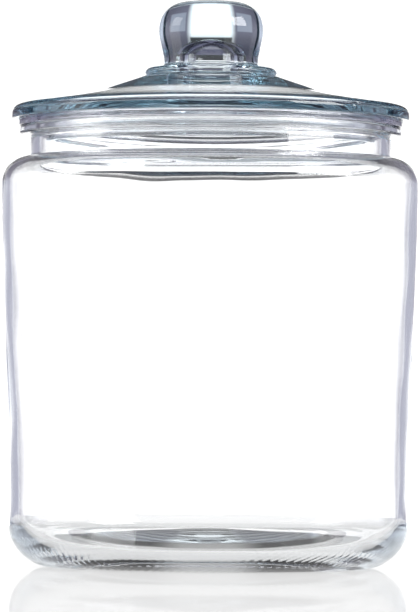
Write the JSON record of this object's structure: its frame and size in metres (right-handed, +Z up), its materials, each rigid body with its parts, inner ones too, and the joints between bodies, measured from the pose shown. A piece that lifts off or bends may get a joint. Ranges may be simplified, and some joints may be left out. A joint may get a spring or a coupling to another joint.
{
  "type": "coin bank jar",
  "caption": "Round clear glass jar with a lift-off glass lid, a ball knob and a clear ring seal, used to hold loose coins.",
  "frame": {"origin": "centre of the foot, on the surface that the jar stands on", "axes": "+Z up along the jar's axis of symmetry; the object is round, so +X and +Y are free"},
  "size_m": [0.178, 0.178, 0.2403],
  "materials": {
    "jar_glass": "clear soda-lime glass, pressed and blown, fire polished",
    "lid_glass": "clear soda-lime glass, pressed",
    "seal_plastic": "clear flexible moulded plastic"
  },
  "bodies": {
    "jar": {"jar_body": "jar_glass"},
    "lid": {"lid": "lid_glass", "lid_seal": "seal_plastic"}
  },
  "joints": [
    {"name": "lid_lift", "type": "slide", "parent": "jar", "child": "lid", "axis": [0, 0, 1], "range_m": [0, 0.08]}
  ]
}
